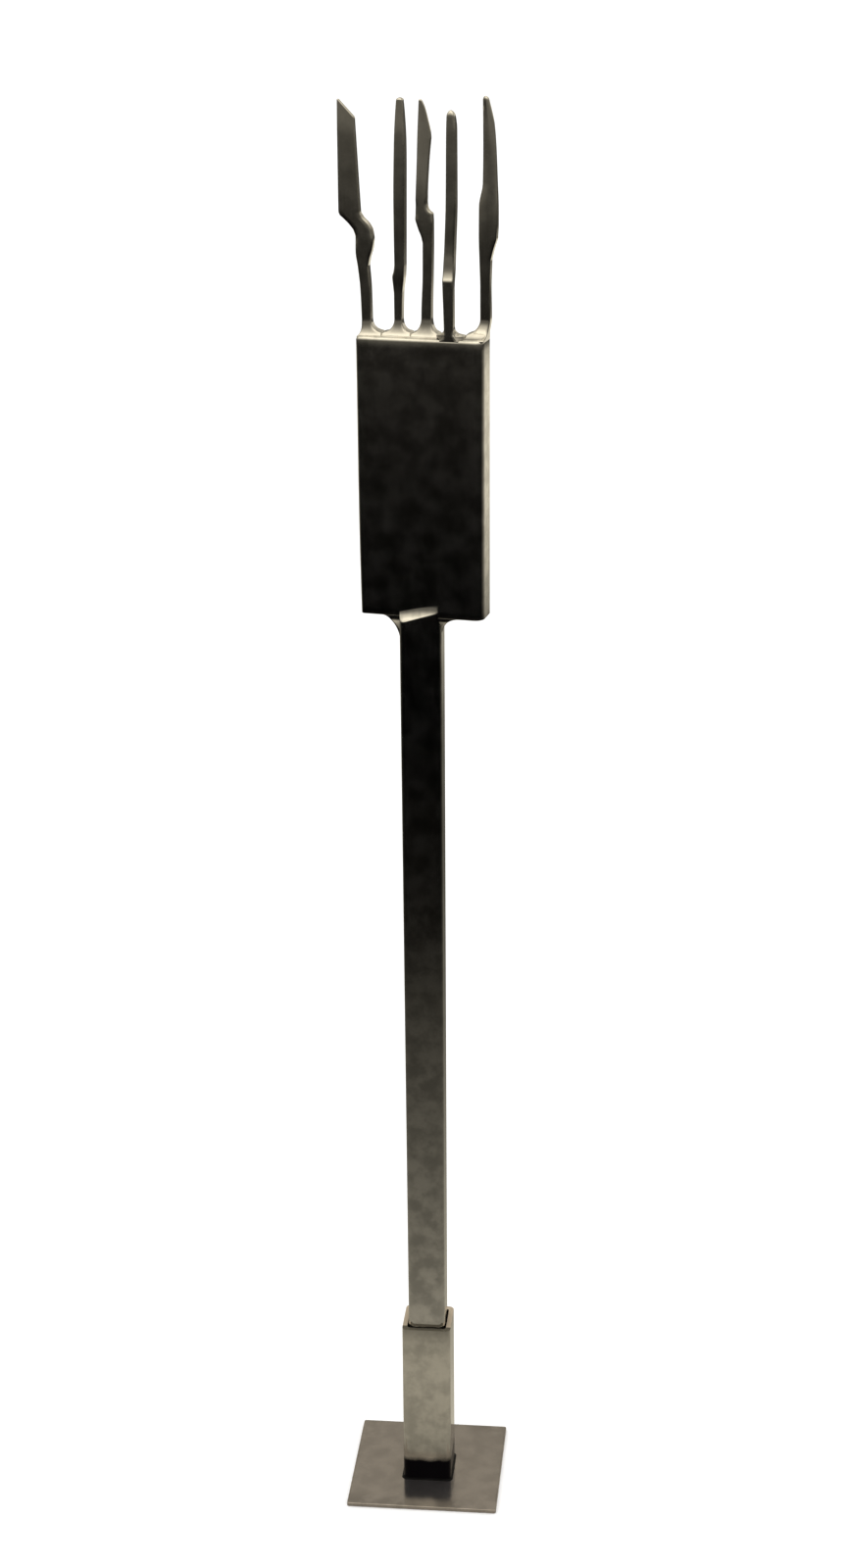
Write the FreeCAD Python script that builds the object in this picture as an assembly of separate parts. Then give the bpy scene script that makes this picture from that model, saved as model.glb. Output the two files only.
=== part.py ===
"""Pricking iron standing in its socket: base plate, socket tube, square shank, head block and five
blade-shaped tines.

Millimetres, +Z up, front towards -Y. The origin is the middle of the base plate's underside.
The stand is the plate and the tube soldered to it. The tool is everything above, and it drops into
the tube until the foot of its shank rests on the plate.
"""
import FreeCAD, Part
import math
import os

from FreeCAD import Vector

# ---- stand ------------------------------------------------------------------------------------
PLATE_SIDE = 31.0
PLATE_THICK = 0.8
PLATE_CORNER = 0.4
SOCKET_X = 0.3               # the tube is not quite central on the plate
SOCKET_Y = -0.7
TUBE_SIDE = 10.0             # 10 x 10 x 1 mm square tube
TUBE_WALL = 1.0
TUBE_HEIGHT = 36.0
TUBE_EDGE = 1.1              # outer radius of the tube's long edges
TUBE_BORE_EDGE = 0.5
TUBE_RIM = 0.12              # rounding of the sawn rim
BEAD_LEG = 0.35              # solder bead round the foot of the tube

# ---- shank ------------------------------------------------------------------------------------
SHANK_FOOT = 7.4             # square bar, 0.3 mm clear of the bore on each side
SHANK_NECK = 8.0             # it thickens slowly towards the head
SHANK_EDGE = 1.2
SHANK_LEAD = 0.5             # chamfer under its foot
SHOULDER_LOW = -1.0          # the shoulders start here on the left, against the head's underside,
SHOULDER_TILT = 0.28         # rise this much per mm to the right
SHOULDER_TALL = 1.6          # and run up this far until they meet the head's front and back
SHOULDER_INSET = 0.1         # just inside its faces
SPIGOT_RADIUS = 2.2
SPIGOT_LENGTH = 18.0

# ---- head -------------------------------------------------------------------------------------
HEAD_BOTTOM = 189.4
HEAD_TALL = 52.5
HEAD_WIDE = 24.0
HEAD_DEEP = 6.3
HEAD_EDGE = 0.8              # rounding of its long edges
HEAD_WORN_EDGE = 1.6         # and of the one at the right of the front
HEAD_TOP_EDGE = 0.65         # the top is rounded over all round
HEAD_NARROWING = 0.3         # the left side draws in by this much towards the bottom
HEAD_STRAIGHT = 24.0         # length of the left side, from the top, before it draws in
HEAD_TWIST = -10.0           # degrees, the head stands a little round from the flats of the shank
HEAD_SHIFT = 0.6             # the head's middle is this far right of the shank's
NECK_SPREAD_LEFT = 3.2       # how far the neck fillets run out under the head
NECK_SPREAD_RIGHT = 4.3
NECK_DROP_LEFT = 5.1         # how far they run down the shank
NECK_DROP_RIGHT = 4.0
NECK_SINK = 0.35             # they start this far inside its flanks
NECK_DEEP = 6.1
NECK_RIM = 0.12              # thickness of a fillet at its outer end

# ---- tines: widths run along the head, u from its middle, h above its top -----------------------
TANG_RADIUS = 0.8
TANG_LENGTH = 9.0
FOOT_RIM = 0.05              # thickness of the flared foot at its rim
SKIRT = 0.7                  # stems start this far down, where they run over the head's rounded edge

HEAD_TOP = HEAD_BOTTOM + HEAD_TALL


class Tine:
    """One tine: left and right sides as runs of (h, u), depth as (h, front, back), tang as (u, d)."""

    def __init__(self, name, tang, root_radius, flare, cell, left, right, tip, depth):
        self.name = name
        self.tang = tang
        self.root_radius = root_radius
        self.flare = flare
        self.cell = cell
        self.left = left
        self.right = right
        self.tip = tip
        self.depth = depth


TINES = [
    Tine("skew_blade_tine", (-10.3, -0.4), 0.9, 2.6, (-12.0, -7.4),
         left=[[(-SKIRT, -11.25), (3.0, -11.3), (8.4, -11.5), (12.6, -11.95), (14.7, -12.27),
                (17.5, -12.35), (19.0, -12.8)],
               [(19.0, -12.8), (20.0, -13.65), (21.5, -15.25)],
               [(21.5, -15.25), (22.0, -15.4)],
               [(22.0, -15.4), (42.0, -15.35)]],
         right=[[(-SKIRT, -9.48), (3.0, -9.5), (8.4, -9.6), (12.6, -9.88)],
                [(12.6, -9.88), (13.9, -9.65), (15.8, -9.08), (17.7, -8.8), (19.0, -8.97),
                 (20.0, -9.43), (21.2, -10.6), (22.1, -11.3)],
                [(22.1, -11.3), (38.9, -12.15)]],
         tip=[],
         depth=[(-SKIRT, -1.2, 0.55), (13.5, -1.15, 0.5), (23.5, -1.15, 0.0), (42.0, -1.1, -0.2)]),
    Tine("narrow_tine", (-4.45, 0.0), 0.75, 2.8, (-7.4, -1.9),
         left=[[(-SKIRT, -5.17), (7.7, -5.2)],
               [(7.7, -5.2), (9.2, -5.35), (10.6, -5.47), (11.8, -5.18), (12.8, -5.05)],
               [(12.8, -5.05), (23.3, -5.1), (33.7, -4.9), (39.9, -4.6), (41.6, -4.42)]],
         right=[[(-SKIRT, -3.72), (3.2, -3.7), (8.0, -3.55), (10.7, -3.25), (12.8, -3.15)],
                [(12.8, -3.15), (23.3, -3.03), (33.7, -2.93), (39.9, -3.14), (41.6, -3.33)]],
         tip=[(42.4, -3.88)],
         depth=[(-SKIRT, -0.95, 0.85), (8.0, -0.95, 0.85), (12.5, -1.02, 1.1), (36.0, -1.0, 1.05),
                (42.5, -0.85, 0.7)]),
    Tine("pointed_blade_tine", (0.85, 0.0), 0.9, 3.2, (-1.9, 3.2),
         left=[[(-SKIRT, -0.1), (4.5, -0.05), (10.9, 0.22), (16.9, 0.28)],
               [(16.9, 0.28), (18.1, 0.0), (19.3, -0.5), (21.1, -1.1)],
               [(21.1, -1.1), (24.5, -1.0), (30.7, -0.78), (35.9, -0.65), (42.1, -0.4)]],
         right=[[(-SKIRT, 1.8), (4.5, 1.83), (10.9, 1.99), (22.3, 2.22)],
                [(22.3, 2.22), (22.6, 1.75), (23.3, 1.3), (24.5, 1.11), (30.7, 1.43), (35.5, 1.9)],
                [(35.5, 1.9), (38.9, 1.28), (41.0, 0.68), (42.1, -0.1)]],
         tip=[],
         depth=[(-SKIRT, -0.9, 0.9), (15.5, -0.87, 0.9), (23.5, -0.85, 0.5), (42.3, -0.3, 0.35)]),
    Tine("stepped_tine", (5.6, -1.95), 0.85, 2.2, (3.2, 8.2),
         left=[[(-SKIRT, 4.75), (2.9, 4.69), (9.3, 4.5), (12.2, 4.42), (16.5, 4.6), (24.8, 4.88),
                (37.1, 5.02), (39.2, 5.12)]],
         right=[[(-SKIRT, 6.5), (9.3, 6.47), (12.2, 6.37), (16.5, 6.5), (24.8, 6.75), (37.1, 6.73),
                 (39.2, 6.5)]],
         tip=[(40.5, 5.82)],
         depth=[(-SKIRT, -3.05, -1.2), (9.1, -3.05, -1.2), (10.7, -3.05, -0.67), (12.2, -2.2, -0.17),
                (12.7, -2.17, 0.0), (14.5, -2.06, 0.0), (18.0, -2.0, 0.02), (37.5, -1.92, 0.1),
                (40.6, -1.9, -0.4)]),
    Tine("curved_blade_tine", (10.75, 1.6), 0.85, 3.0, (8.2, 12.0),
         left=[[(-SKIRT, 10.25), (3.5, 10.5), (8.8, 10.5), (14.1, 10.35), (18.3, 10.24), (23.5, 10.26),
                (27.7, 10.95), (33.9, 11.02), (42.0, 10.95)]],
         right=[[(-SKIRT, 11.95), (1.2, 12.15), (3.5, 12.42), (8.8, 12.34), (14.1, 12.5)],
                [(14.1, 12.5), (16.0, 12.98), (17.7, 13.55)],
                [(17.7, 13.55), (20.5, 13.7), (23.5, 13.72), (27.7, 13.6), (33.9, 13.38),
                 (38.0, 13.05), (42.0, 12.1)]],
         tip=[(42.8, 11.5)],
         depth=[(-SKIRT, 0.9, 2.7), (13.5, 0.9, 2.7), (21.5, 0.93, 2.55), (42.9, 1.1, 2.2)]),
]


# ---- helpers ------------------------------------------------------------------------------------
def rounded_square(side, radius, z, x=0.0, y=0.0):
    """Closed wire: a square of the given side with rounded corners, flat at height z."""
    half = side / 2
    flat = half - radius
    edges = []
    for turn in range(4):
        angle = math.radians(90 * turn)

        def place(a, b):
            return Vector(x + a * math.cos(angle) - b * math.sin(angle),
                          y + a * math.sin(angle) + b * math.cos(angle), z)

        bulge = flat + radius * math.sqrt(0.5)
        edges.append(Part.LineSegment(place(half, -flat), place(half, flat)).toShape())
        edges.append(Part.Arc(place(half, flat), place(bulge, bulge), place(flat, half)).toShape())
    return Part.Wire(edges)


def square_prism(side, radius, z_low, z_high, x=0.0, y=0.0):
    """Upright square bar with rounded long edges."""
    face = Part.Face(rounded_square(side, radius, z_low, x, y))
    return face.extrude(Vector(0, 0, z_high - z_low))


def head_box(u_low, u_high, d_low, d_high, z_low, z_high):
    """Box in the head's own frame: u along its width, d into its depth."""
    corner = Vector(u_low, d_low, z_low)
    return Part.makeBox(u_high - u_low, d_high - d_low, z_high - z_low, corner)


def in_place(shape):
    """Turn a shape from the head's own frame to where the head stands over the socket."""
    placed = shape.copy()
    placed.translate(Vector(HEAD_SHIFT, 0, 0))
    placed.rotate(Vector(0, 0, 0), Vector(0, 0, 1), HEAD_TWIST)
    placed.translate(Vector(SOCKET_X, SOCKET_Y, 0))
    return placed


def edges_along(shape, direction, keep):
    """Straight edges that run along a direction and that keep() accepts."""
    found = []
    for edge in shape.Edges:
        if edge.Curve.TypeId != "Part::GeomLine":
            continue
        run = edge.Vertexes[-1].Point - edge.Vertexes[0].Point
        if abs(run.normalize() * direction) > 0.98 and keep(edge):
            found.append(edge)
    return found


def rounded_slab(slab):
    """A slab in the head's frame with its long edges rounded, then its top all round."""
    up = Vector(0, 0, 1)

    def worn(edge):
        return edge.BoundBox.XMin > 0 > edge.BoundBox.YMax

    slab = slab.makeFillet(HEAD_EDGE, edges_along(slab, up, lambda edge: not worn(edge)))
    slab = slab.makeFillet(HEAD_WORN_EDGE, edges_along(slab, up, worn))
    rim = [edge for edge in slab.Edges if edge.BoundBox.ZMin > HEAD_TOP - 0.001]
    return slab.makeFillet(HEAD_TOP_EDGE, rim)


def one_solid(shape):
    """The single solid of a boolean's result, with its seams removed."""
    clean = shape.removeSplitter()
    solids = clean.Solids
    if len(solids) != 1:
        raise ValueError("expected one solid, got %d" % len(solids))
    return solids[0]


def save(name, shape):
    """Write one node after checking that it is one sound solid."""
    solid = one_solid(shape)
    if not solid.isValid():
        raise ValueError(name + " is not valid")
    solid.exportStep("parts/%s.step" % name)
    print("%-22s %9.2f mm3" % (name, solid.Volume))


# ---- stand --------------------------------------------------------------------------------------
def base_plate():
    """Thin square plate that the tool stands on."""
    return square_prism(PLATE_SIDE, PLATE_CORNER, 0, PLATE_THICK)


def socket_tube():
    """Square tube that takes the foot of the shank, its sawn rim rounded over."""
    rim = PLATE_THICK + TUBE_HEIGHT
    outside = square_prism(TUBE_SIDE, TUBE_EDGE, PLATE_THICK, rim, SOCKET_X, SOCKET_Y)
    bore_side = TUBE_SIDE - 2 * TUBE_WALL
    bore = square_prism(bore_side, TUBE_BORE_EDGE, PLATE_THICK, rim, SOCKET_X, SOCKET_Y)
    tube = outside.cut(bore)
    rim_edges = [edge for edge in tube.Edges if edge.BoundBox.ZMin > rim - 0.01]
    return tube.makeFillet(TUBE_RIM, rim_edges)


def foot_solder_bead():
    """Fine bead of solder in the corner between the tube and the plate."""
    low = rounded_square(TUBE_SIDE + 2 * BEAD_LEG, TUBE_EDGE + BEAD_LEG, PLATE_THICK,
                         SOCKET_X, SOCKET_Y)
    high = rounded_square(TUBE_SIDE + 0.02, TUBE_EDGE + 0.01, PLATE_THICK + BEAD_LEG,
                          SOCKET_X, SOCKET_Y)
    cone = Part.makeLoft([low, high], True, True)
    tube = square_prism(TUBE_SIDE, TUBE_EDGE, PLATE_THICK, PLATE_THICK + 2 * BEAD_LEG,
                        SOCKET_X, SOCKET_Y)
    return cone.cut(tube)


# ---- shank and head -----------------------------------------------------------------------------
def head_face(side, x):
    """Where the head's front (side -1) or back (side 1) crosses x, in the shank's own frame."""
    turn = math.radians(HEAD_TWIST)
    return side * HEAD_DEEP / 2 / math.cos(turn) + x * math.tan(turn)


def shoulder_profile(x, z_low):
    """Section through the bar's end at x: its two shoulders slope in to the faces of the head."""
    half = SHANK_NECK / 2
    foot = HEAD_BOTTOM + SHOULDER_LOW + SHOULDER_TILT * (x + half)
    top = foot + SHOULDER_TALL
    front = head_face(-1, x) + SHOULDER_INSET
    back = head_face(1, x) - SHOULDER_INSET
    corners = [(-half, z_low), (half, z_low), (half, foot), (back, top), (front, top), (-half, foot)]
    points = [Vector(SOCKET_X + x, SOCKET_Y + y, z) for y, z in corners]
    return Part.makePolygon(points + points[:1])


def shank():
    """Square bar: foot in the socket, shouldered end let into the head, round spigot above it."""
    half = SHANK_NECK / 2
    neck_z = HEAD_BOTTOM + 2 * SHOULDER_LOW
    lead = rounded_square(SHANK_FOOT - 2 * SHANK_LEAD, SHANK_EDGE - SHANK_LEAD, PLATE_THICK,
                          SOCKET_X, SOCKET_Y)
    foot = rounded_square(SHANK_FOOT, SHANK_EDGE, PLATE_THICK + SHANK_LEAD, SOCKET_X, SOCKET_Y)
    neck = rounded_square(SHANK_NECK, SHANK_EDGE, neck_z, SOCKET_X, SOCKET_Y)
    bar = Part.makeLoft([lead, foot], True, True).fuse(Part.makeLoft([foot, neck], True, True))
    column = square_prism(SHANK_NECK, SHANK_EDGE, neck_z, HEAD_BOTTOM + SHANK_NECK, SOCKET_X, SOCKET_Y)
    wedge = Part.makeLoft([shoulder_profile(-half, neck_z), shoulder_profile(half, neck_z)], True, True)
    spigot = Part.makeCylinder(SPIGOT_RADIUS, SPIGOT_LENGTH, Vector(SOCKET_X, SOCKET_Y, HEAD_BOTTOM))
    return bar.fuse(column.common(wedge)).fuse(spigot)


def head_blank():
    """The head before it is bored, in its own frame: a slab whose left side draws in downwards."""
    half = HEAD_WIDE / 2
    corners = [(half, HEAD_BOTTOM), (half, HEAD_TOP), (-half, HEAD_TOP),
               (-half, HEAD_TOP - HEAD_STRAIGHT), (HEAD_NARROWING - half, HEAD_BOTTOM)]
    points = [Vector(u, -HEAD_DEEP / 2, z) for u, z in corners]
    return rounded_slab(Part.Face(Part.makePolygon(points + points[:1])).extrude(Vector(0, HEAD_DEEP, 0)))


def tangs():
    """Round tangs of the five tines, in the head's own frame."""
    return [Part.makeCylinder(TANG_RADIUS, TANG_LENGTH + FOOT_RIM,
                              Vector(tine.tang[0], tine.tang[1], HEAD_TOP - TANG_LENGTH))
            for tine in TINES]


def head_block(bar):
    """The head, bored for the tangs and let over the end of the shank."""
    block = head_blank()
    for tang in tangs():
        block = block.cut(tang)
    return in_place(block).cut(bar)


def neck_fillet(side, spread, drop, bar, head):
    """Braze fillet in the corner between the shank and the underside of the head."""
    inner = -HEAD_SHIFT + side * SHANK_NECK / 4
    outer = -HEAD_SHIFT + side * (SHANK_NECK / 2 + spread)
    corner = -HEAD_SHIFT + side * (SHANK_NECK / 2 - NECK_SINK)
    low = HEAD_BOTTOM - drop
    y = -NECK_DEEP / 2
    swing = math.sqrt(0.5)
    middle = Vector(outer - (outer - corner) * swing, y, low + drop * swing)
    curve = Part.Arc(Vector(corner, y, low), middle, Vector(outer, y, HEAD_BOTTOM - NECK_RIM))
    edges = [curve.toShape(),
             Part.LineSegment(Vector(outer, y, HEAD_BOTTOM - NECK_RIM),
                              Vector(outer, y, HEAD_BOTTOM)).toShape(),
             Part.LineSegment(Vector(outer, y, HEAD_BOTTOM), Vector(inner, y, HEAD_BOTTOM)).toShape(),
             Part.LineSegment(Vector(inner, y, HEAD_BOTTOM), Vector(inner, y, low)).toShape(),
             Part.LineSegment(Vector(inner, y, low), Vector(corner, y, low)).toShape()]
    web = Part.Face(Part.Wire(edges)).extrude(Vector(0, NECK_DEEP, 0))
    return in_place(web).cut(bar).cut(head)


# ---- tines --------------------------------------------------------------------------------------
def smooth_edge(points, make_point):
    """Line through two points, or a smooth curve through more."""
    places = [make_point(a, b) for a, b in points]
    if len(places) == 2:
        return Part.LineSegment(places[0], places[1]).toShape()
    curve = Part.BSplineCurve()
    curve.interpolate(places)
    return curve.toShape()


def front_outline(tine):
    """The tine's outline seen from the front, as a closed face in the plane d = 0."""
    def place(h, u):
        return Vector(u, 0, HEAD_TOP + h)

    rising = [smooth_edge(run, place) for run in tine.left]
    falling = [smooth_edge(run, place) for run in tine.right]
    end_left = tine.left[-1][-1]
    end_right = tine.right[-1][-1]
    if tine.tip:
        crown = Part.Arc(place(*end_left), place(*tine.tip[0]), place(*end_right)).toShape()
    else:
        crown = Part.LineSegment(place(*end_left), place(*end_right)).toShape()
    base = Part.LineSegment(place(*tine.left[0][0]), place(*tine.right[0][0])).toShape()
    return Part.Face(Part.Wire(Part.__sortEdges__(rising + falling + [crown, base])))


def side_outline(tine):
    """The tine's outline seen from the side, as a closed face in the plane u = 0."""
    front = [Vector(0, d_front, HEAD_TOP + h) for h, d_front, d_back in tine.depth]
    back = [Vector(0, d_back, HEAD_TOP + h) for h, d_front, d_back in reversed(tine.depth)]
    return Part.Face(Part.makePolygon(front + back + front[:1]))


def flared_foot(tine):
    """Trumpet-shaped foot round the tine's root, trimmed to its share of the head's top."""
    wide = tine.root_radius + tine.flare
    z = HEAD_TOP
    swing = tine.flare * math.sqrt(0.5)
    start = Vector(wide, 0, z + FOOT_RIM)
    middle = Vector(wide - swing, 0, z + FOOT_RIM + tine.flare - swing)
    end = Vector(tine.root_radius, 0, z + FOOT_RIM + tine.flare)
    top = Vector(0, 0, end.z)
    edges = [Part.LineSegment(Vector(0, 0, z), Vector(wide, 0, z)).toShape(),
             Part.LineSegment(Vector(wide, 0, z), start).toShape(),
             Part.Arc(start, middle, end).toShape(),
             Part.LineSegment(end, top).toShape(),
             Part.LineSegment(top, Vector(0, 0, z)).toShape()]
    foot = Part.Face(Part.Wire(edges)).revolve(Vector(0, 0, 0), Vector(0, 0, 1), 360)
    root_u = (tine.left[0][0][1] + tine.right[0][0][1]) / 2
    root_d = (tine.depth[0][1] + tine.depth[0][2]) / 2
    foot.translate(Vector(root_u, root_d, 0))
    wide_flat = HEAD_WIDE / 2 - HEAD_TOP_EDGE
    deep_flat = HEAD_DEEP / 2 - HEAD_TOP_EDGE
    cell = head_box(max(tine.cell[0], -wide_flat), min(tine.cell[1], wide_flat),
                    -deep_flat, deep_flat, z, z + 2 * tine.flare)
    return foot.common(cell)


def tine_solid(tine, tang, blank):
    """Blade and stem, flared foot and tang in one piece; the stem is let over the head's edge."""
    plate = front_outline(tine).extrude(Vector(0, 4 * HEAD_DEEP, 0))
    plate.translate(Vector(0, -2 * HEAD_DEEP, 0))
    web = side_outline(tine).extrude(Vector(4 * HEAD_WIDE, 0, 0))
    web.translate(Vector(-2 * HEAD_WIDE, 0, 0))
    blade = plate.common(web).cut(blank)
    return in_place(blade.fuse(flared_foot(tine)).fuse(tang))


def main():
    os.makedirs("parts", exist_ok=True)
    bar = shank()
    head = head_block(bar)
    save("base_plate", base_plate())
    save("socket_tube", socket_tube())
    save("foot_solder_bead", foot_solder_bead())
    save("shank", bar)
    save("head_block", head)
    save("neck_fillet_left", neck_fillet(-1, NECK_SPREAD_LEFT, NECK_DROP_LEFT, bar, head))
    save("neck_fillet_right", neck_fillet(1, NECK_SPREAD_RIGHT, NECK_DROP_RIGHT, bar, head))
    blank = head_blank()
    for tine, tang in zip(TINES, tangs()):
        save(tine.name, tine_solid(tine, tang, blank))


main()
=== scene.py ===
"""Looks for the pricking iron on its socket stand: finely rounded steel pieces, a pale floor, soft light."""
import math

import bpy
from mathutils import Matrix, Vector, noise


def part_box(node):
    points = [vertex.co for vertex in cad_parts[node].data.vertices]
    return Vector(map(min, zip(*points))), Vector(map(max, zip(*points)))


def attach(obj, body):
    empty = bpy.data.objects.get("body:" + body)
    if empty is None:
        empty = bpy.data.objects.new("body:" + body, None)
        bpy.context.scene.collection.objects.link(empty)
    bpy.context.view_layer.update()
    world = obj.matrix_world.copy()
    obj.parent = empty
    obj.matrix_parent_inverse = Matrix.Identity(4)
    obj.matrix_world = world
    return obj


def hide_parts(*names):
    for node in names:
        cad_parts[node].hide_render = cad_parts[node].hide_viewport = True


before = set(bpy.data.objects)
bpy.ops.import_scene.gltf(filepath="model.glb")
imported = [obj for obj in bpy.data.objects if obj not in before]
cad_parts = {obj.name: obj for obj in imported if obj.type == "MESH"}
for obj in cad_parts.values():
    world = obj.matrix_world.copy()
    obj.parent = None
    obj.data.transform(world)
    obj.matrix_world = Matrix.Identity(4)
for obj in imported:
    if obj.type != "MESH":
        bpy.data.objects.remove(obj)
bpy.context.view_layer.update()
MM = 0.001


# ---- measures taken from the frame ---------------------------------------------------------------
PLATE_LOW, PLATE_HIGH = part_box("base_plate")
TUBE_LOW, TUBE_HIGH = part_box("socket_tube")
BEAD_LOW, BEAD_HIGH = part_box("foot_solder_bead")
SHANK_LOW, SHANK_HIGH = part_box("shank")
HEAD_LOW, HEAD_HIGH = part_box("head_block")
AXIS_X = (TUBE_LOW.x + TUBE_HIGH.x) / 2
AXIS_Y = (TUBE_LOW.y + TUBE_HIGH.y) / 2
HEAD_BOTTOM = HEAD_LOW.z
HEAD_TOP = HEAD_HIGH.z
SHANK_NECK = SHANK_HIGH.x - SHANK_LOW.x

# ---- the object's other driving sizes ------------------------------------------------------------
SHANK_FOOT = 7.4 * MM
SHANK_LEAD = 0.5 * MM
TUBE_WALL = 1.0 * MM
HEAD_TWIST = math.radians(-10.0)
HEAD_SHIFT = 0.6 * MM
HEAD_WIDE = 24.0 * MM
HEAD_DEEP = 6.3 * MM
HEAD_TOP_EDGE = 0.65 * MM
TUBE_EDGE = 1.1 * MM           # radius of the tube's long edges
SHANK_EDGE = 1.2 * MM


def head_matrix():
    """From the head's own frame (u along its width, d into its depth) to the row frame."""
    turn = Matrix.Rotation(HEAD_TWIST, 4, "Z")
    return Matrix.Translation((AXIS_X, AXIS_Y, 0)) @ turn @ Matrix.Translation((HEAD_SHIFT, 0, 0))


HEAD_FRAME = head_matrix()
TOOL_AXIS = Matrix.Translation((AXIS_X, AXIS_Y, 0))


# ---- camera, floor and light ---------------------------------------------------------------------
def set_camera():
    """Camera a little above and to the right of the object, looking down on its stand."""
    data = bpy.data.cameras.new("camera")
    data.sensor_width = 36.0
    data.lens = 62.92
    data.clip_start = 0.01
    data.clip_end = 60.0
    camera = bpy.data.objects.new("camera", data)
    bpy.context.collection.objects.link(camera)
    heading = math.radians(5.857)
    pitch = math.radians(19.971)
    roll = math.radians(-0.498)
    ahead = Vector((-math.sin(heading) * math.cos(pitch), math.cos(heading) * math.cos(pitch),
                    -math.sin(pitch)))
    level = Vector((math.cos(heading), math.sin(heading), 0))
    upright = level.cross(ahead)
    right = level * math.cos(roll) + upright * math.sin(roll)
    up = upright * math.cos(roll) - level * math.sin(roll)
    turn = Matrix((right, up, -ahead)).transposed().to_4x4()
    camera.matrix_world = Matrix.Translation((0.05109, -0.4959, 0.33583)) @ turn
    bpy.context.scene.camera = camera


class Nodes:
    """Short way to add and link shader nodes in one tree."""

    def __init__(self, tree):
        self.tree = tree
        tree.nodes.clear()

    def add(self, kind, **settings):
        node = self.tree.nodes.new(kind)
        for name, value in settings.items():
            setattr(node, name, value)
        return node

    def put(self, socket, value):
        if isinstance(value, bpy.types.NodeSocket):
            self.tree.links.new(value, socket)
        else:
            socket.default_value = value

    def math(self, operation, a, b=0.0, clamp=False):
        node = self.add("ShaderNodeMath", operation=operation, use_clamp=clamp)
        self.put(node.inputs[0], a)
        self.put(node.inputs[1], b)
        return node.outputs[0]

    def mix(self, factor, a, b):
        node = self.add("ShaderNodeMix", data_type="RGBA")
        self.put(node.inputs["Factor"], factor)
        self.put(node.inputs[6], a)
        self.put(node.inputs[7], b)
        return node.outputs[2]

    def ramp(self, value, stops, smooth=True):
        """Grey or coloured ramp; stops are (position, colour) with colour a number or three."""
        node = self.add("ShaderNodeValToRGB")
        ramp = node.color_ramp
        ramp.interpolation = "EASE" if smooth else "LINEAR"
        while len(ramp.elements) < len(stops):
            ramp.elements.new(0.5)
        for element, (position, colour) in zip(ramp.elements, stops):
            element.position = position
            rgb = (colour,) * 3 if isinstance(colour, (int, float)) else tuple(colour)
            element.color = rgb + (1.0,)
        self.put(node.inputs[0], value)
        return node.outputs[0]

    def noise(self, vector, scale, detail=3.0, rough=0.5):
        node = self.add("ShaderNodeTexNoise")
        self.put(node.inputs["Vector"], vector)
        node.inputs["Scale"].default_value = scale
        node.inputs["Detail"].default_value = detail
        node.inputs["Roughness"].default_value = rough
        return node.outputs["Fac"]


ROOM_WARM = (1.0, 0.92, 0.73)


def warmed(n, level):
    """A level of light in the warm colour of the room."""
    tint = n.add("ShaderNodeMix", data_type="RGBA", blend_type="MULTIPLY")
    tint.inputs["Factor"].default_value = 1.0
    n.put(tint.inputs[6], level)
    tint.inputs[7].default_value = ROOM_WARM + (1.0,)
    return tint.outputs[2]


def scaled(n, value, factor, offset):
    """value * factor + offset"""
    return n.math("ADD", n.math("MULTIPLY", value, factor), offset)


def toward_back(n, forward):
    """How far a direction counts as the back of the room: 0 in front, 1 straight behind."""
    stops = [(0.38, 0.0), (0.55, 0.08), (0.75, 0.3), (0.9, 0.75), (0.97, 1.0)]
    return n.ramp(scaled(n, forward, 0.5, 0.5), stops, smooth=False)


def set_world():
    """Pale surroundings; in the steel they read bright behind and overhead, and dark in front."""
    world = bpy.data.worlds.new("surroundings")
    bpy.context.scene.world = world
    world.use_nodes = True
    n = Nodes(world.node_tree)
    out = n.add("ShaderNodeOutputWorld")
    way = n.add("ShaderNodeTexCoord").outputs["Generated"]
    split = n.add("ShaderNodeSeparateXYZ")
    n.put(split.inputs[0], way)
    height = split.outputs["Z"]
    behind = n.ramp(height, [(0.0, 0.85), (0.22, 0.75), (0.42, 0.34), (0.58, 0.3), (0.8, 0.7), (1.0, 1.0)],
                    smooth=False)
    front = n.ramp(height, [(0.0, 0.16), (0.1, 0.16), (0.3, 0.36), (0.5, 0.7), (0.72, 1.0),
                            (0.92, 1.7)], smooth=False)
    room = n.add("ShaderNodeBackground")
    n.put(room.inputs["Color"], warmed(n, n.mix(toward_back(n, split.outputs["Y"]), front, behind)))
    plain = n.add("ShaderNodeBackground")
    plain.inputs["Color"].default_value = (1.0, 1.0, 1.0, 1.0)
    plain.inputs["Strength"].default_value = 1.25
    path = n.add("ShaderNodeLightPath")
    either = n.add("ShaderNodeMixShader")
    n.put(either.inputs[0], path.outputs["Is Glossy Ray"])
    n.put(either.inputs[1], plain.outputs[0])
    n.put(either.inputs[2], room.outputs[0])
    n.put(out.inputs["Surface"], either.outputs[0])


# Brightness of the floor's painted glow, seen only in the steel, as (distance in metres, level).
FLOOR_NEAR = 0.02
FLOOR_FAR = 4.0
FLOOR_IN_FRONT = ((0.02, 0.38), (0.05, 0.47), (0.09, 0.25), (0.185, 0.095), (0.3, 0.008), (0.5, 0.0),
                  (0.7, 0.002), (1.0, 0.008), (1.3, 0.02), (1.6, 0.025), (1.9, 0.04), (2.5, 0.09),
                  (4.0, 0.17))
FLOOR_BEHIND = ((0.02, 0.55), (0.09, 0.36), (0.2, 0.18), (0.365, 0.10), (0.5, 0.13), (0.65, 0.4),
                (0.85, 0.85), (1.15, 1.0), (1.35, 0.35), (1.55, 0.1), (3.0, 0.08))


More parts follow.
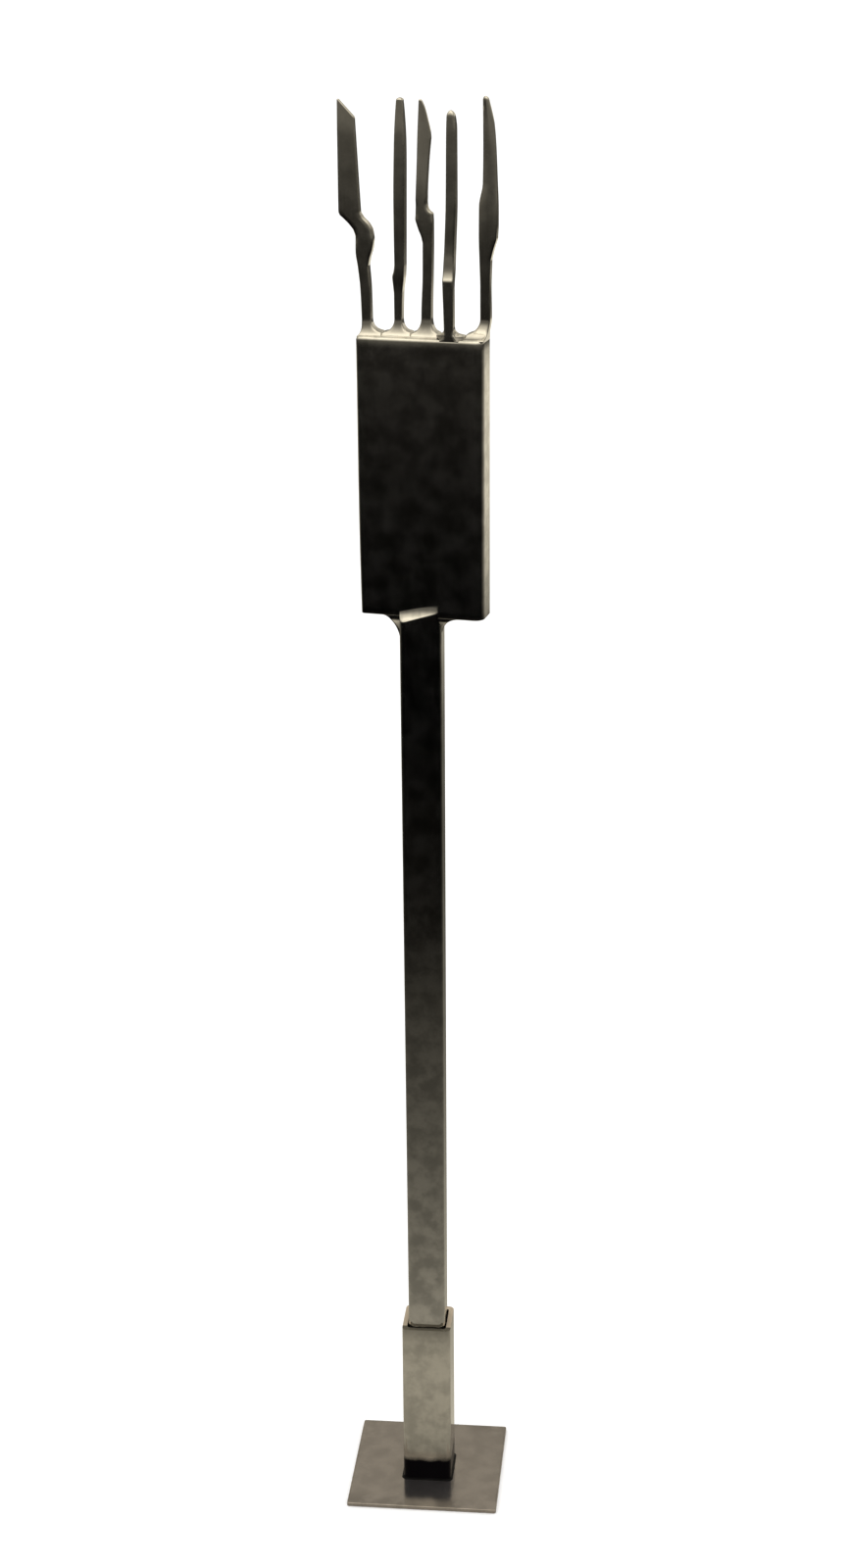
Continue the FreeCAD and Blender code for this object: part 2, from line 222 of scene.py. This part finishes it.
def floor_ramp(n, reach, stops):
    """Brightness of the floor's painted glow along the distance, on a scale of tenfold steps."""
    low, high = math.log10(FLOOR_NEAR), math.log10(FLOOR_FAR)
    places = [((math.log10(d) - low) / (high - low), level) for d, level in stops]
    return n.ramp(reach, places, smooth=False)


def floor_material():
    """Plain pale floor to the camera; in the steel it shows a painted glow, a painted reflection that fades
    out towards the front of the room.
    """
    material = bpy.data.materials.new("pale_floor_with_painted_glow")
    material.use_nodes = True
    n = Nodes(material.node_tree)
    out = n.add("ShaderNodeOutputMaterial")
    place = n.add("ShaderNodeTexCoord").outputs["Object"]
    split = n.add("ShaderNodeSeparateXYZ")
    n.put(split.inputs[0], place)
    length = n.add("ShaderNodeVectorMath", operation="LENGTH")
    n.put(length.inputs[0], place)
    distance = length.outputs["Value"]
    low, high = math.log10(FLOOR_NEAR), math.log10(FLOOR_FAR)
    tens = n.math("LOGARITHM", distance, 10.0)
    reach = scaled(n, tens, 1.0 / (high - low), -low / (high - low))
    back = toward_back(n, n.math("DIVIDE", split.outputs["Y"], distance))
    seen = n.mix(back, floor_ramp(n, reach, FLOOR_IN_FRONT), floor_ramp(n, reach, FLOOR_BEHIND))
    # Painted glow: the floor gives out light to glossy rays only, though it is no lamp.
    glow = n.add("ShaderNodeEmission")
    n.put(glow.inputs["Color"], warmed(n, seen))
    matt = n.add("ShaderNodeBsdfDiffuse")
    matt.inputs["Color"].default_value = (0.9, 0.9, 0.9, 1.0)
    path = n.add("ShaderNodeLightPath")
    either = n.add("ShaderNodeMixShader")
    n.put(either.inputs[0], path.outputs["Is Glossy Ray"])
    n.put(either.inputs[1], matt.outputs[0])
    n.put(either.inputs[2], glow.outputs[0])
    n.put(out.inputs["Surface"], either.outputs[0])
    return material


def set_floor():
    """Large pale floor level with the underside of the plate."""
    half = 12.0
    mesh = bpy.data.meshes.new("floor")
    z = PLATE_LOW.z - 0.00002
    mesh.from_pydata([(-half, -half, z), (half, -half, z), (half, half, z), (-half, half, z)], [],
                     [(0, 1, 2, 3)])
    floor = bpy.data.objects.new("floor", mesh)
    bpy.context.collection.objects.link(floor)
    mesh.materials.append(floor_material())


def soft_light(name, place, target, size, power, colour):
    """Square area light aimed at a point."""
    data = bpy.data.lights.new(name, "AREA")
    data.shape = "SQUARE"
    data.size = size
    data.energy = power
    data.color = colour
    light = bpy.data.objects.new(name, data)
    light.location = place
    light.visible_glossy = False
    light.rotation_mode = "QUATERNION"
    light.rotation_quaternion = (Vector(place) - Vector(target)).to_track_quat("Z", "Y")
    bpy.context.collection.objects.link(light)


# ---- steel ---------------------------------------------------------------------------------------
def foot_and_rim(n, place, clouds, colour, rough):
    """Darker round the soldered foot of the tube, and a dull, pale, sawn rim that is painted dark in front
    as the gap's shadow.
    """
    split = n.add("ShaderNodeSeparateXYZ")
    n.put(split.inputs[0], place)
    # Near black low on the tube, fading out upwards, with an uneven edge.
    height = n.math("ADD", split.outputs["Z"], scaled(n, clouds, 1.4 * MM, -0.7 * MM))
    dark_foot = n.ramp(n.math("DIVIDE", height, 12 * MM), [(0.44, 1.0), (0.53, 0.3), (0.9, 0.0)], smooth=False)
    sawn = n.math("GREATER_THAN", split.outputs["Z"], TUBE_HIGH.z - 0.06 * MM)
    # The front of the rim is painted dark: a painted shadow of the gap between the shank and the front wall.
    front = n.math("LESS_THAN", split.outputs["Y"], TUBE_LOW.y + 1.6 * MM)
    pale = n.mix(front, (0.6, 0.54, 0.48, 1.0), (0.16, 0.15, 0.13, 1.0))
    colour = n.mix(dark_foot, n.mix(sawn, colour, pale), (0.006, 0.0055, 0.008, 1.0))
    return colour, n.math("ADD", rough, n.math("ADD", n.math("MULTIPLY", sawn, 0.5),
                                               n.math("MULTIPLY", dark_foot, 0.2)))


def steel(name, colour, rough, grain_axis="Z", grain=0.12, mottle=0.10, edge=0.5, metal=1.0,
          local=None):
    """Satin steel: drawn-out grain, mottled polish, fine pits and edges rubbed bright.

    A metal of less than 1 stands for a thin dull film; local changes colour and roughness in places.
    """
    material = bpy.data.materials.new(name)
    material.use_nodes = True
    n = Nodes(material.node_tree)
    out = n.add("ShaderNodeOutputMaterial")
    shader = n.add("ShaderNodeBsdfPrincipled")
    shader.inputs["Metallic"].default_value = metal
    place = n.add("ShaderNodeTexCoord").outputs["Object"]
    stretch = n.add("ShaderNodeMapping")
    lengths = {"X": (0.05, 1.0, 1.0), "Y": (1.0, 0.05, 1.0), "Z": (1.0, 1.0, 0.05)}
    stretch.inputs["Scale"].default_value = lengths[grain_axis]
    n.put(stretch.inputs["Vector"], place)
    lines = n.noise(stretch.outputs[0], 5200.0, detail=4.0, rough=0.6)
    clouds = n.noise(place, 260.0, detail=4.0, rough=0.55)
    specks = n.noise(place, 1900.0, detail=2.0, rough=0.5)
    darker = tuple(c * (1.0 - mottle) for c in colour) + (1.0,)
    lighter = tuple(min(1.0, c * (1.0 + mottle * 0.5)) for c in colour) + (1.0,)
    base = n.mix(n.ramp(clouds, [(0.35, 0.0), (0.65, 1.0)]), darker, lighter)
    rub = n.add("ShaderNodeNewGeometry").outputs["Pointiness"]
    worn = n.ramp(rub, [(0.505, 0.0), (0.56, 1.0)], smooth=False)
    bright = tuple(min(1.0, c * 1.18) for c in colour) + (1.0,)
    tone = n.mix(n.math("MULTIPLY", worn, edge), base, bright)
    uneven = n.math("MULTIPLY", n.math("SUBTRACT", clouds, 0.5), 0.12)
    fine = n.math("MULTIPLY", n.math("SUBTRACT", lines, 0.5), grain)
    total = n.math("ADD", n.math("ADD", rough, uneven), fine, clamp=True)
    if local:
        tone, total = local(n, place, clouds, tone, total)
    n.put(shader.inputs["Base Color"], tone)
    n.put(shader.inputs["Roughness"], total)
    bump = n.add("ShaderNodeBump")
    bump.inputs["Strength"].default_value = 0.15
    bump.inputs["Distance"].default_value = 0.00002
    relief = n.math("ADD", n.math("MULTIPLY", lines, 0.5), n.math("MULTIPLY", specks, 0.5))
    n.put(bump.inputs["Height"], n.math("ADD", relief, clouds))
    n.put(shader.inputs["Normal"], bump.outputs[0])
    n.put(out.inputs["Surface"], shader.outputs[0])
    return material


# ---- mesh helpers --------------------------------------------------------------------------------
CORNER_STEPS = 6


def rounded_ring(left, right, front, back, radius, z):
    """Points of a rounded rectangle at height z, anticlockwise from the right side."""
    radius = max(1e-6, min(radius, (right - left) / 2 - 1e-7, (back - front) / 2 - 1e-7))
    corners = [(right - radius, back - radius, 0), (left + radius, back - radius, 90),
               (left + radius, front + radius, 180), (right - radius, front + radius, 270)]
    points = []
    for x, y, start in corners:
        for step in range(CORNER_STEPS + 1):
            angle = math.radians(start + 90 * step / CORNER_STEPS)
            points.append(Vector((x + radius * math.cos(angle), y + radius * math.sin(angle), z)))
    return points


def split_sides(points, spans):
    """Adds points along the four flat sides of a rounded ring."""
    per_corner = CORNER_STEPS + 1
    ring = []
    for corner in range(4):
        ring.extend(points[corner * per_corner:(corner + 1) * per_corner])
        a = points[(corner + 1) * per_corner - 1]
        b = points[((corner + 1) * per_corner) % len(points)]
        for step in range(1, spans):
            ring.append(a.lerp(b, step / spans))
    return ring


def loft(name, rings, matrix, close_low=True, close_high=True):
    """Closed skin through rings of equal length."""
    count = len(rings[0])
    points = [matrix @ p for ring in rings for p in ring]
    faces = []
    for k in range(len(rings) - 1):
        low, high = k * count, (k + 1) * count
        for i in range(count):
            j = (i + 1) % count
            faces.append((low + i, low + j, high + j, high + i))
    caps = len(faces)
    last = (len(rings) - 1) * count
    if close_low:
        faces.append(tuple(reversed(range(count))))
    if close_high:
        faces.append(tuple(range(last, last + count)))
    mesh = bpy.data.meshes.new(name)
    mesh.from_pydata([tuple(p) for p in points], [], faces)
    mesh.polygons.foreach_set("use_smooth", [k < caps for k in range(len(faces))])
    piece = bpy.data.objects.new(name, mesh)
    bpy.context.collection.objects.link(piece)
    return piece


def finish_piece(piece, node, body, material):
    """Hands a piece over to the frame in place of its CAD node."""
    piece.data.materials.append(material)
    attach(piece, body)
    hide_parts(node)


def curve_at(runs, h):
    """Value at h of a side given as runs of (h, value) points, smooth within each run."""
    for run in runs:
        if h <= run[-1][0] or run is runs[-1]:
            break
    h = min(max(h, run[0][0]), run[-1][0])
    for k in range(len(run) - 1):
        if h <= run[k + 1][0]:
            break
    (h0, v0), (h1, v1) = run[k], run[k + 1]
    if len(run) == 2:
        return v0 + (v1 - v0) * (h - h0) / (h1 - h0)

    def tangent(i):
        if i == 0 or i == len(run) - 1:
            j = 0 if i == 0 else len(run) - 2
            return (run[j + 1][1] - run[j][1]) / (run[j + 1][0] - run[j][0])
        before = (run[i][1] - run[i - 1][1]) / (run[i][0] - run[i - 1][0])
        after = (run[i + 1][1] - run[i][1]) / (run[i + 1][0] - run[i][0])
        if before * after <= 0:
            return 0.0
        return 2 * before * after / (before + after)

    t = (h - h0) / (h1 - h0)
    m0, m1 = tangent(k) * (h1 - h0), tangent(k + 1) * (h1 - h0)
    return ((2 * t ** 3 - 3 * t ** 2 + 1) * v0 + (t ** 3 - 2 * t ** 2 + t) * m0
            + (3 * t ** 2 - 2 * t ** 3) * v1 + (t ** 3 - t ** 2) * m1)


# ---- stand ---------------------------------------------------------------------------------------
def base_plate(material):
    """Thin plate with softened edges."""
    soft = 0.07 * MM
    rings = []
    for inset, z in ((soft, PLATE_LOW.z), (0.3 * soft, PLATE_LOW.z + 0.3 * soft),
                     (0, PLATE_LOW.z + soft), (0, PLATE_HIGH.z - soft),
                     (0.3 * soft, PLATE_HIGH.z - 0.3 * soft), (soft, PLATE_HIGH.z),
                     (2 * soft, PLATE_HIGH.z), (5 * soft, PLATE_HIGH.z)):
        ring = rounded_ring(PLATE_LOW.x + inset, PLATE_HIGH.x - inset, PLATE_LOW.y + inset,
                            PLATE_HIGH.y - inset, 0.4 * MM, z)
        rings.append(split_sides(ring, 24))
    piece = loft("plate_of_stand", rings, Matrix.Identity(4))
    finish_piece(piece, "base_plate", "stand", material)


def socket_tube(material):
    """Square tube with a sawn rim, its inner lip a little ragged."""
    half = (TUBE_HIGH.x - TUBE_LOW.x) / 2
    bore = half - TUBE_WALL
    rim = 0.08 * MM
    low, top = TUBE_LOW.z, TUBE_HIGH.z
    rings = []

    def ring(reach, radius, z, rag=0.0):
        points = split_sides(rounded_ring(-reach, reach, -reach, reach, radius, z), 24)
        for p in points:
            wear = noise.noise(Vector((p.x, p.y, 0)) * 700.0)
            p.z -= rag * abs(wear)
        rings.append(points)

    ring(half, TUBE_EDGE, low)
    for step in range(1, 13):
        ring(half, TUBE_EDGE, low + (top - rim - low) * step / 12)
    for step in range(1, 6):
        angle = math.radians(90 * step / 5)
        ring(half - rim * (1 - math.cos(angle)), TUBE_EDGE, top - rim * (1 - math.sin(angle)))
    for step in range(0, 6):
        angle = math.radians(90 * step / 5)
        ring(bore + rim * (1 - math.sin(angle)), 0.7 * MM, top - rim * (1 - math.cos(angle)),
             rag=0.12 * MM)
    for step in range(1, 13):
        ring(bore, 0.5 * MM, top - rim - (top - rim - low) * step / 12)
    rings.append(rings[0])
    piece = loft("socket_of_stand", rings, TOOL_AXIS, close_low=False, close_high=False)
    finish_piece(piece, "socket_tube", "stand", material)


def foot_solder_bead(material):
    """Fine uneven bead of solder round the foot of the tube."""
    leg = BEAD_HIGH.z - BEAD_LOW.z
    half = (TUBE_HIGH.x - TUBE_LOW.x) / 2
    rings = []
    inside = half - 0.02 * MM
    for step in range(7):
        turn = math.radians(90 * step / 6)
        reach = half + leg * (1 - math.sin(turn))
        z = BEAD_LOW.z + leg * (1 - math.cos(turn))
        points = split_sides(rounded_ring(-reach, reach, -reach, reach, TUBE_EDGE, z), 24)
        for p in points:
            swell = 1 + 0.25 * noise.noise(Vector((p.x, p.y, 0)) * 700.0)
            away = Vector((p.x, p.y)).length
            scale = 1 - (1 - swell) * (reach - half) / away
            p.x *= scale
            p.y *= scale
        rings.append(points)
    rings.append(split_sides(rounded_ring(-inside, inside, -inside, inside, TUBE_EDGE,
                                          BEAD_LOW.z + leg), 24))
    rings.append(split_sides(rounded_ring(-inside, inside, -inside, inside, TUBE_EDGE,
                                          BEAD_LOW.z), 24))
    rings.append(rings[0])
    piece = loft("solder_round_foot", rings, TOOL_AXIS, close_low=False, close_high=False)
    finish_piece(piece, "foot_solder_bead", "stand", material)


# ---- shank, neck and head ------------------------------------------------------------------------
def head_face(x):
    """How far in front of the shank's axis the head's face crosses x."""
    return HEAD_DEEP / 2 / math.cos(HEAD_TWIST) - x * math.tan(HEAD_TWIST)


def shank(material):
    """Tapering square bar; at its end two shoulders slope in to the faces of the head."""
    foot = SHANK_LOW.z
    edge = SHANK_EDGE
    neck_z = HEAD_BOTTOM - 2.0 * MM
    rings = []

    def ring(reach, radius, z):
        rings.append(split_sides(rounded_ring(-reach, reach, -reach, reach, radius, z), 10))

    for inset, rise in ((SHANK_LEAD, 0), (0.35 * SHANK_LEAD, 0.45 * SHANK_LEAD), (0, SHANK_LEAD)):
        ring(SHANK_FOOT / 2 - inset, edge - inset, foot + rise)
    steps = 60
    for step in range(1, steps + 1):
        share = step / steps
        ring((SHANK_FOOT + (SHANK_NECK - SHANK_FOOT) * share) / 2, edge,
             foot + SHANK_LEAD + (neck_z - foot - SHANK_LEAD) * share)
    half = SHANK_NECK / 2
    plan = split_sides(rounded_ring(-half, half, -half, half, edge, 0), 10)
    hollow = [(-0.4, 0.0), (-0.12, 0.0)]
    first = math.radians(22)
    for step in range(13):
        turn = first + (math.radians(90) - first) * step / 12
        hollow.append((2.3 * (math.cos(first) - math.cos(turn)),
                       (math.sin(turn) - math.sin(first)) / (1 - math.sin(first))))
    for rise, share in hollow:
        shoulder = []
        for p in plan:
            start = HEAD_BOTTOM - 1.0 * MM + 0.28 * (p.x + half)
            limit = head_face(p.x if p.y < 0 else -p.x) - 0.02 * MM
            reach = half + (limit - half) * share
            y = max(-reach, min(reach, p.y))
            shoulder.append(Vector((p.x, y, start + rise * MM)))
        rings.append(shoulder)
    spigot = 2.2 * MM
    for radius, z in ((spigot, HEAD_BOTTOM + 4.0 * MM), (spigot, SHANK_HIGH.z - 0.3 * MM),
                      (spigot - 0.3 * MM, SHANK_HIGH.z)):
        ring(radius, radius, z)
    piece = loft("square_shank", rings, TOOL_AXIS)
    finish_piece(piece, "shank", "tool", material)


def neck_fillet(side, spread, drop, material):
    """Braze drawn out in a hollow curve, turning from the flats of the shank into line with the head."""
    rings = []
    steps = 24
    half = SHANK_NECK / 2
    for step in range(steps + 1):
        turn = math.radians(90 * step / steps)
        share = min(1.0, 2.2 * (1 - math.cos(turn)))
        z = HEAD_BOTTOM - drop * (1 - math.sin(turn))
        reach = half - 0.06 * MM + (spread + 0.06 * MM) * (1 - math.cos(turn))
        ends = sorted((side * 0.6 * half, side * reach))
        depth = half - 0.9 * MM + (HEAD_DEEP / 2 - 0.1 * MM - half + 0.9 * MM) * share
        ring = split_sides(rounded_ring(ends[0], ends[1], -depth, depth, (0.7 - 0.45 * share) * MM, z), 6)
        twist = Matrix.Rotation(HEAD_TWIST * share, 4, "Z")
        rings.append([twist @ p for p in ring])
    name = "left" if side < 0 else "right"
    piece = loft("neck_braze_" + name, rings, TOOL_AXIS)
    finish_piece(piece, "neck_fillet_" + name, "tool", material)


def slab_ring(left, right, deep, inset, z):
    """Rounded rectangle: even corners, but for the wide one at the right of the front."""
    even = rounded_ring(left, right, -deep, deep, max(0.8 * MM - inset, 0.2 * MM), z)
    wide = rounded_ring(left, right, -deep, deep, max(1.8 * MM - inset, 0.4 * MM), z)
    middle = (left + right) / 2
    points = [b if a.x > middle and a.y < 0 else a for a, b in zip(even, wide)]
    return split_sides(points, 16)


def head_block(material):
    """Slab rounded over at the top; the left side draws in a little towards the bottom."""
    half, deep = HEAD_WIDE / 2, HEAD_DEEP / 2
    low_soft = 0.12 * MM
    rings = []

    def ring(z, inset):
        share = max(0.0, 1 - (z - HEAD_BOTTOM) / (28 * MM))
        draw = 0.3 * MM * share ** 2
        rings.append(slab_ring(-half + draw + inset, half - inset, deep - inset, inset, z))

    for step in range(5):
        turn = math.radians(90 * step / 4)
        ring(HEAD_BOTTOM + low_soft * (1 - math.cos(turn)), low_soft * (1 - math.sin(turn)))
    rows = 40
    for step in range(1, rows + 1):
        straight = HEAD_TOP - HEAD_TOP_EDGE - HEAD_BOTTOM - low_soft
        ring(HEAD_BOTTOM + low_soft + straight * step / rows, 0.0)
    for step in range(1, 8):
        turn = math.radians(90 * step / 7)
        ring(HEAD_TOP - HEAD_TOP_EDGE * (1 - math.sin(turn)), HEAD_TOP_EDGE * (1 - math.cos(turn)))
    ring(HEAD_TOP, 1.3 * HEAD_TOP_EDGE)
    piece = loft("slab_head", rings, HEAD_FRAME)
    finish_piece(piece, "head_block", "tool", material)


# ---- tines ---------------------------------------------------------------------------------------
class Tine:
    """A tine in the head's frame, in mm: h above the head's top, u along the head, d into its depth."""

    def __init__(self, node, name, tang, flare, cell, saddles, left, right, front, back, tip, soft,
                 ridge=None):
        self.node = node
        self.name = name
        self.tang = tang
        self.flare = flare
        self.cell = cell
        self.saddles = saddles
        self.left = left
        self.right = right
        self.front = front
        self.back = back
        self.tip = tip
        self.ridge = ridge
        self.soft = soft


SKIRT = 0.6
TINES = [
    Tine("skew_blade_tine", "tine_with_skew_blade", (-10.3, -0.4), 2.8, (-11.88, -7.4), (0.0, 0.65),
         left=[[(-SKIRT, -11.25), (3.0, -11.3), (8.4, -11.5), (12.6, -11.95), (14.7, -12.27),
                (17.5, -12.35), (19.0, -12.8)],
               [(19.0, -12.8), (20.0, -13.65), (21.5, -15.25)],
               [(21.5, -15.25), (22.0, -15.4)],
               [(22.0, -15.4), (42.0, -15.35)]],
         right=[[(-SKIRT, -9.48), (3.0, -9.5), (8.4, -9.6), (12.6, -9.88)],
                [(12.6, -9.88), (13.9, -9.65), (15.8, -9.08), (17.7, -8.8), (19.0, -8.97),
                 (20.0, -9.43), (21.2, -10.6), (22.1, -11.3)],
                [(22.1, -11.3), (38.9, -12.15)],
                [(38.9, -12.15), (41.9, -15.05)]],
         front=[[(-SKIRT, -1.2), (20.0, -1.2), (36.0, -1.19), (42.0, -1.05)]],
         back=[[(-SKIRT, 0.55), (13.5, 0.5), (23.5, 0.0), (42.0, -0.2)]],
         tip=0.15,
         soft=[[(-SKIRT, 0.25), (15.0, 0.3), (18.6, 0.75), (20.6, 0.75), (22.4, 0.25), (42.0, 0.2)]]),
    Tine("narrow_tine", "tine_with_narrow_blade", (-4.45, 0.0), 3.0, (-7.4, -1.9), (0.65, 0.75),
         left=[[(-SKIRT, -5.17), (7.7, -5.2)],
               [(7.7, -5.2), (9.2, -5.35), (10.6, -5.47), (11.8, -5.18), (12.8, -5.05)],
               [(12.8, -5.05), (23.3, -5.1), (33.7, -4.9), (39.9, -4.6), (42.4, -4.4)]],
         right=[[(-SKIRT, -3.72), (3.2, -3.7), (8.0, -3.55), (10.7, -3.25), (12.8, -3.15)],
                [(12.8, -3.15), (23.3, -3.03), (33.7, -2.93), (39.9, -3.14), (42.4, -3.33)]],
         front=[[(-SKIRT, -0.95), (8.0, -0.95), (12.5, -1.02), (36.0, -1.0), (42.4, -0.8)]],
         back=[[(-SKIRT, 0.85), (8.0, 0.85), (12.5, 1.1), (36.0, 1.05), (42.4, 0.7)]],
         tip=0.4, soft=[[(-SKIRT, 0.3), (42.4, 0.3)]]),
    Tine("pointed_blade_tine", "tine_with_pointed_blade", (0.85, 0.0), 3.4, (-1.9, 3.2), (0.75, 0.8),
         left=[[(-SKIRT, -0.1), (4.5, -0.05), (10.9, 0.22), (16.9, 0.28)],
               [(16.9, 0.28), (18.1, 0.0), (19.3, -0.5), (21.1, -1.1)],
               [(21.1, -1.1), (24.5, -1.0), (30.7, -0.78), (35.9, -0.65), (42.2, -0.4)]],
         right=[[(-SKIRT, 1.8), (4.5, 1.83), (10.9, 1.99), (22.3, 2.22)],
                [(22.3, 2.22), (22.6, 1.75), (23.3, 1.3), (24.5, 1.11), (30.7, 1.43), (35.5, 1.9)],
                [(35.5, 1.9), (36.2, 1.85), (38.9, 1.28), (41.0, 0.68), (42.2, 0.1)]],
         front=[[(-SKIRT, -0.9), (14.0, -0.88), (24.0, -0.84), (34.0, -0.62), (42.2, -0.3)]],
         back=[[(-SKIRT, 0.9), (15.5, 0.9), (23.5, 0.5), (42.2, 0.35)]],
         tip=0.3, ridge=(0.15, 24.0, 12.0, 0.3),
         soft=[[(-SKIRT, 0.25), (20.6, 0.25), (22.2, 0.5), (23.4, 0.5), (25.0, 0.22), (42.2, 0.2)]]),
    Tine("stepped_tine", "tine_with_step", (5.6, -1.95), 2.2, (3.2, 8.2), (0.8, 0.75),
         left=[[(-SKIRT, 4.75), (2.9, 4.69), (9.3, 4.5), (12.2, 4.42), (16.5, 4.6), (24.8, 4.88),
                (37.1, 5.02), (40.5, 5.15)]],
         right=[[(-SKIRT, 6.5), (9.3, 6.47), (12.2, 6.37), (16.5, 6.5), (24.8, 6.75), (37.1, 6.73),
                 (40.5, 6.45)]],
         front=[[(-SKIRT, -3.05), (10.7, -3.05)],
                [(10.7, -3.05), (11.0, -2.8), (11.6, -2.5), (12.4, -2.27), (13.6, -2.1), (15.5, -2.0),
                 (18.0, -1.96), (40.5, -1.88)]],
         back=[[(-SKIRT, -1.2), (9.1, -1.2), (12.7, 0.0), (37.5, 0.1), (40.5, -0.4)]],
         tip=1.0, soft=[[(-SKIRT, 0.35), (40.5, 0.35)]]),
    Tine("curved_blade_tine", "tine_with_curved_blade", (10.75, 1.6), 3.2, (8.2, 11.35), (0.75, 0.0),
         left=[[(-SKIRT, 10.25), (3.5, 10.5), (8.8, 10.5), (14.1, 10.35), (18.3, 10.24), (23.5, 10.26),
                (27.7, 10.95), (33.9, 11.02), (42.79, 10.95)]],
         right=[[(-SKIRT, 11.95), (1.2, 12.15), (3.5, 12.42), (8.8, 12.34), (14.1, 12.5)],
                [(14.1, 12.5), (16.0, 12.98), (17.7, 13.55)],
                [(17.7, 13.55), (20.5, 13.7), (23.5, 13.72), (27.7, 13.6), (33.9, 13.38),
                 (38.0, 13.05), (42.79, 11.95)]],
         front=[[(-SKIRT, 0.9), (13.5, 0.92), (33.0, 0.95), (42.8, 1.1)]],
         back=[[(-SKIRT, 2.7), (13.5, 2.7), (21.5, 2.55), (42.8, 2.2)]],
         tip=0.6, ridge=(0.6, 16.0, 20.0, 0.5), soft=[[(-SKIRT, 0.3), (42.8, 0.3)]]),
]
TINE_STEP = 0.2
FOOT_DEPTH = 0.3             # the feet are let this far into the rounded edges of the head


def flare_share(h, tall, saddle):
    """How much of its full width a hollow flare has at height h; it is full up to the saddle."""
    if h <= saddle:
        return 1.0
    if h >= tall:
        return 0.0
    rise = 1 - (h - saddle) / (tall - saddle)
    return 1 - math.sqrt(1 - rise * rise)


def tine_ring(tine, h, shrink=1.0):
    """Section of a tine at height h: a softened rectangle, its foot flared and its blade ridged."""
    left, right = curve_at(tine.left, h), curve_at(tine.right, h)
    front, back = curve_at(tine.front, h), curve_at(tine.back, h)
    radius = curve_at(tine.soft, h)
    limit = (HEAD_DEEP / 2 - HEAD_TOP_EDGE) / MM
    stem, across = right - left, 0.0
    if -FOOT_DEPTH <= h < tine.flare:
        across = flare_share(h, tine.flare, 0.0)
        left -= max(0.0, left - tine.cell[0]) * flare_share(h, tine.flare, tine.saddles[0])
        right += max(0.0, tine.cell[1] - right) * flare_share(h, tine.flare, tine.saddles[1])
        front -= max(0.0, front + limit) * across
        back += max(0.0, limit - back) * across
        free = min(1.0, 0.1 + max(0.0, h) / 1.2)
        radius = (radius + 1.6 * across * (1 - across)) * free
    if shrink < 1:
        middle_u, middle_d = (left + right) / 2, (front + back) / 2
        left, right = (middle_u + (x - middle_u) * shrink for x in (left, right))
        front, back = (middle_d + (x - middle_d) * shrink for x in (front, back))
    ring = split_sides(rounded_ring(left * MM, right * MM, front * MM, back * MM, radius * MM,
                                    HEAD_TOP + h * MM), 4)
    if across > 0 and front < -limit:
        slim = (stem + 1.8 * across) / (right - left)
        for p in ring:
            if p.y < -limit * MM:
                p.x += (slim - 1) * (p.x - (left + right) / 2 * MM)
    if tine.ridge and h > tine.ridge[1]:
        where, start, length, fall_off = tine.ridge
        blend = min(1.0, (h - start) / length)
        blend = blend * blend * (3 - 2 * blend)
        centre = (front + back) / 2 * MM
        for p in ring:
            across = (p.x / MM - left) / max(right - left, 1e-6)
            fall = (across - where) / (1 - where) if across > where else (where - across) / where
            thin = 1 - fall_off * blend * fall
            p.y = centre + (p.y - centre) * thin
    return ring


def tine_piece(tine, material):
    """Tang, flared foot, stem and blade of one tine as one skin."""
    top = tine.left[-1][-1][0]
    u, d = tine.tang
    rings = []
    for radius, depth in ((0.6, 9.0), (0.8, 8.7), (0.8, SKIRT + 0.1)):
        ring = rounded_ring((u - radius) * MM, (u + radius) * MM, (d - radius) * MM,
                            (d + radius) * MM, radius * MM, HEAD_TOP - depth * MM)
        rings.append(split_sides(ring, 4))
    rings.append(tine_ring(tine, -SKIRT))
    rings.append(tine_ring(tine, -FOOT_DEPTH))
    rings.append(tine_ring(tine, 0.0))
    body = top - tine.tip
    steps = 16
    for step in range(1, steps + 1):
        rings.append(tine_ring(tine, 0.001 + tine.flare * (step / steps) ** 2))
    steps = round((body - tine.flare) / TINE_STEP)
    for step in range(1, steps + 1):
        rings.append(tine_ring(tine, tine.flare + (body - tine.flare) * step / steps))
    caps = 8
    for step in range(1, caps + 1):
        turn = math.radians(88 * step / caps)
        rings.append(tine_ring(tine, body + tine.tip * math.sin(turn), shrink=math.cos(turn)))
    piece = loft(tine.name, rings, HEAD_FRAME)
    finish_piece(piece, tine.node, "tool", material)


# ---- put together --------------------------------------------------------------------------------
def main():
    scene = bpy.context.scene
    scene.view_settings.view_transform = "Standard"
    set_camera()
    set_world()
    set_floor()
    soft_light("overhead_softbox", (-0.25, 0.1, 1.5), (0.0, 0.0, 0.12), 1.1, 3.0, (1.0, 0.95, 0.86))
    plate = steel("plate_satin_steel", (0.42, 0.385, 0.365), 0.14, "X", grain=0.06, mottle=0.2,
                  metal=0.95)
    socket = steel("socket_satin_steel", (0.60, 0.585, 0.55), 0.12, mottle=0.2, local=foot_and_rim)
    tool = steel("tool_satin_steel", (0.62, 0.61, 0.59), 0.13, mottle=0.25)
    blade = steel("tine_polished_steel", (0.62, 0.605, 0.58), 0.12, grain=0.08)
    braze = steel("neck_braze", (0.62, 0.60, 0.57), 0.15, mottle=0.14)
    solder = steel("foot_solder", (0.008, 0.008, 0.009), 0.5, mottle=0.2, edge=0.0)
    base_plate(plate)
    socket_tube(socket)
    foot_solder_bead(solder)
    shank(tool)
    neck_fillet(-1, 3.2 * MM, 5.1 * MM, braze)
    neck_fillet(1, 4.3 * MM, 4.0 * MM, braze)
    head_block(tool)
    for tine in TINES:
        tine_piece(tine, blade)


main()
bpy.context.view_layer.update()
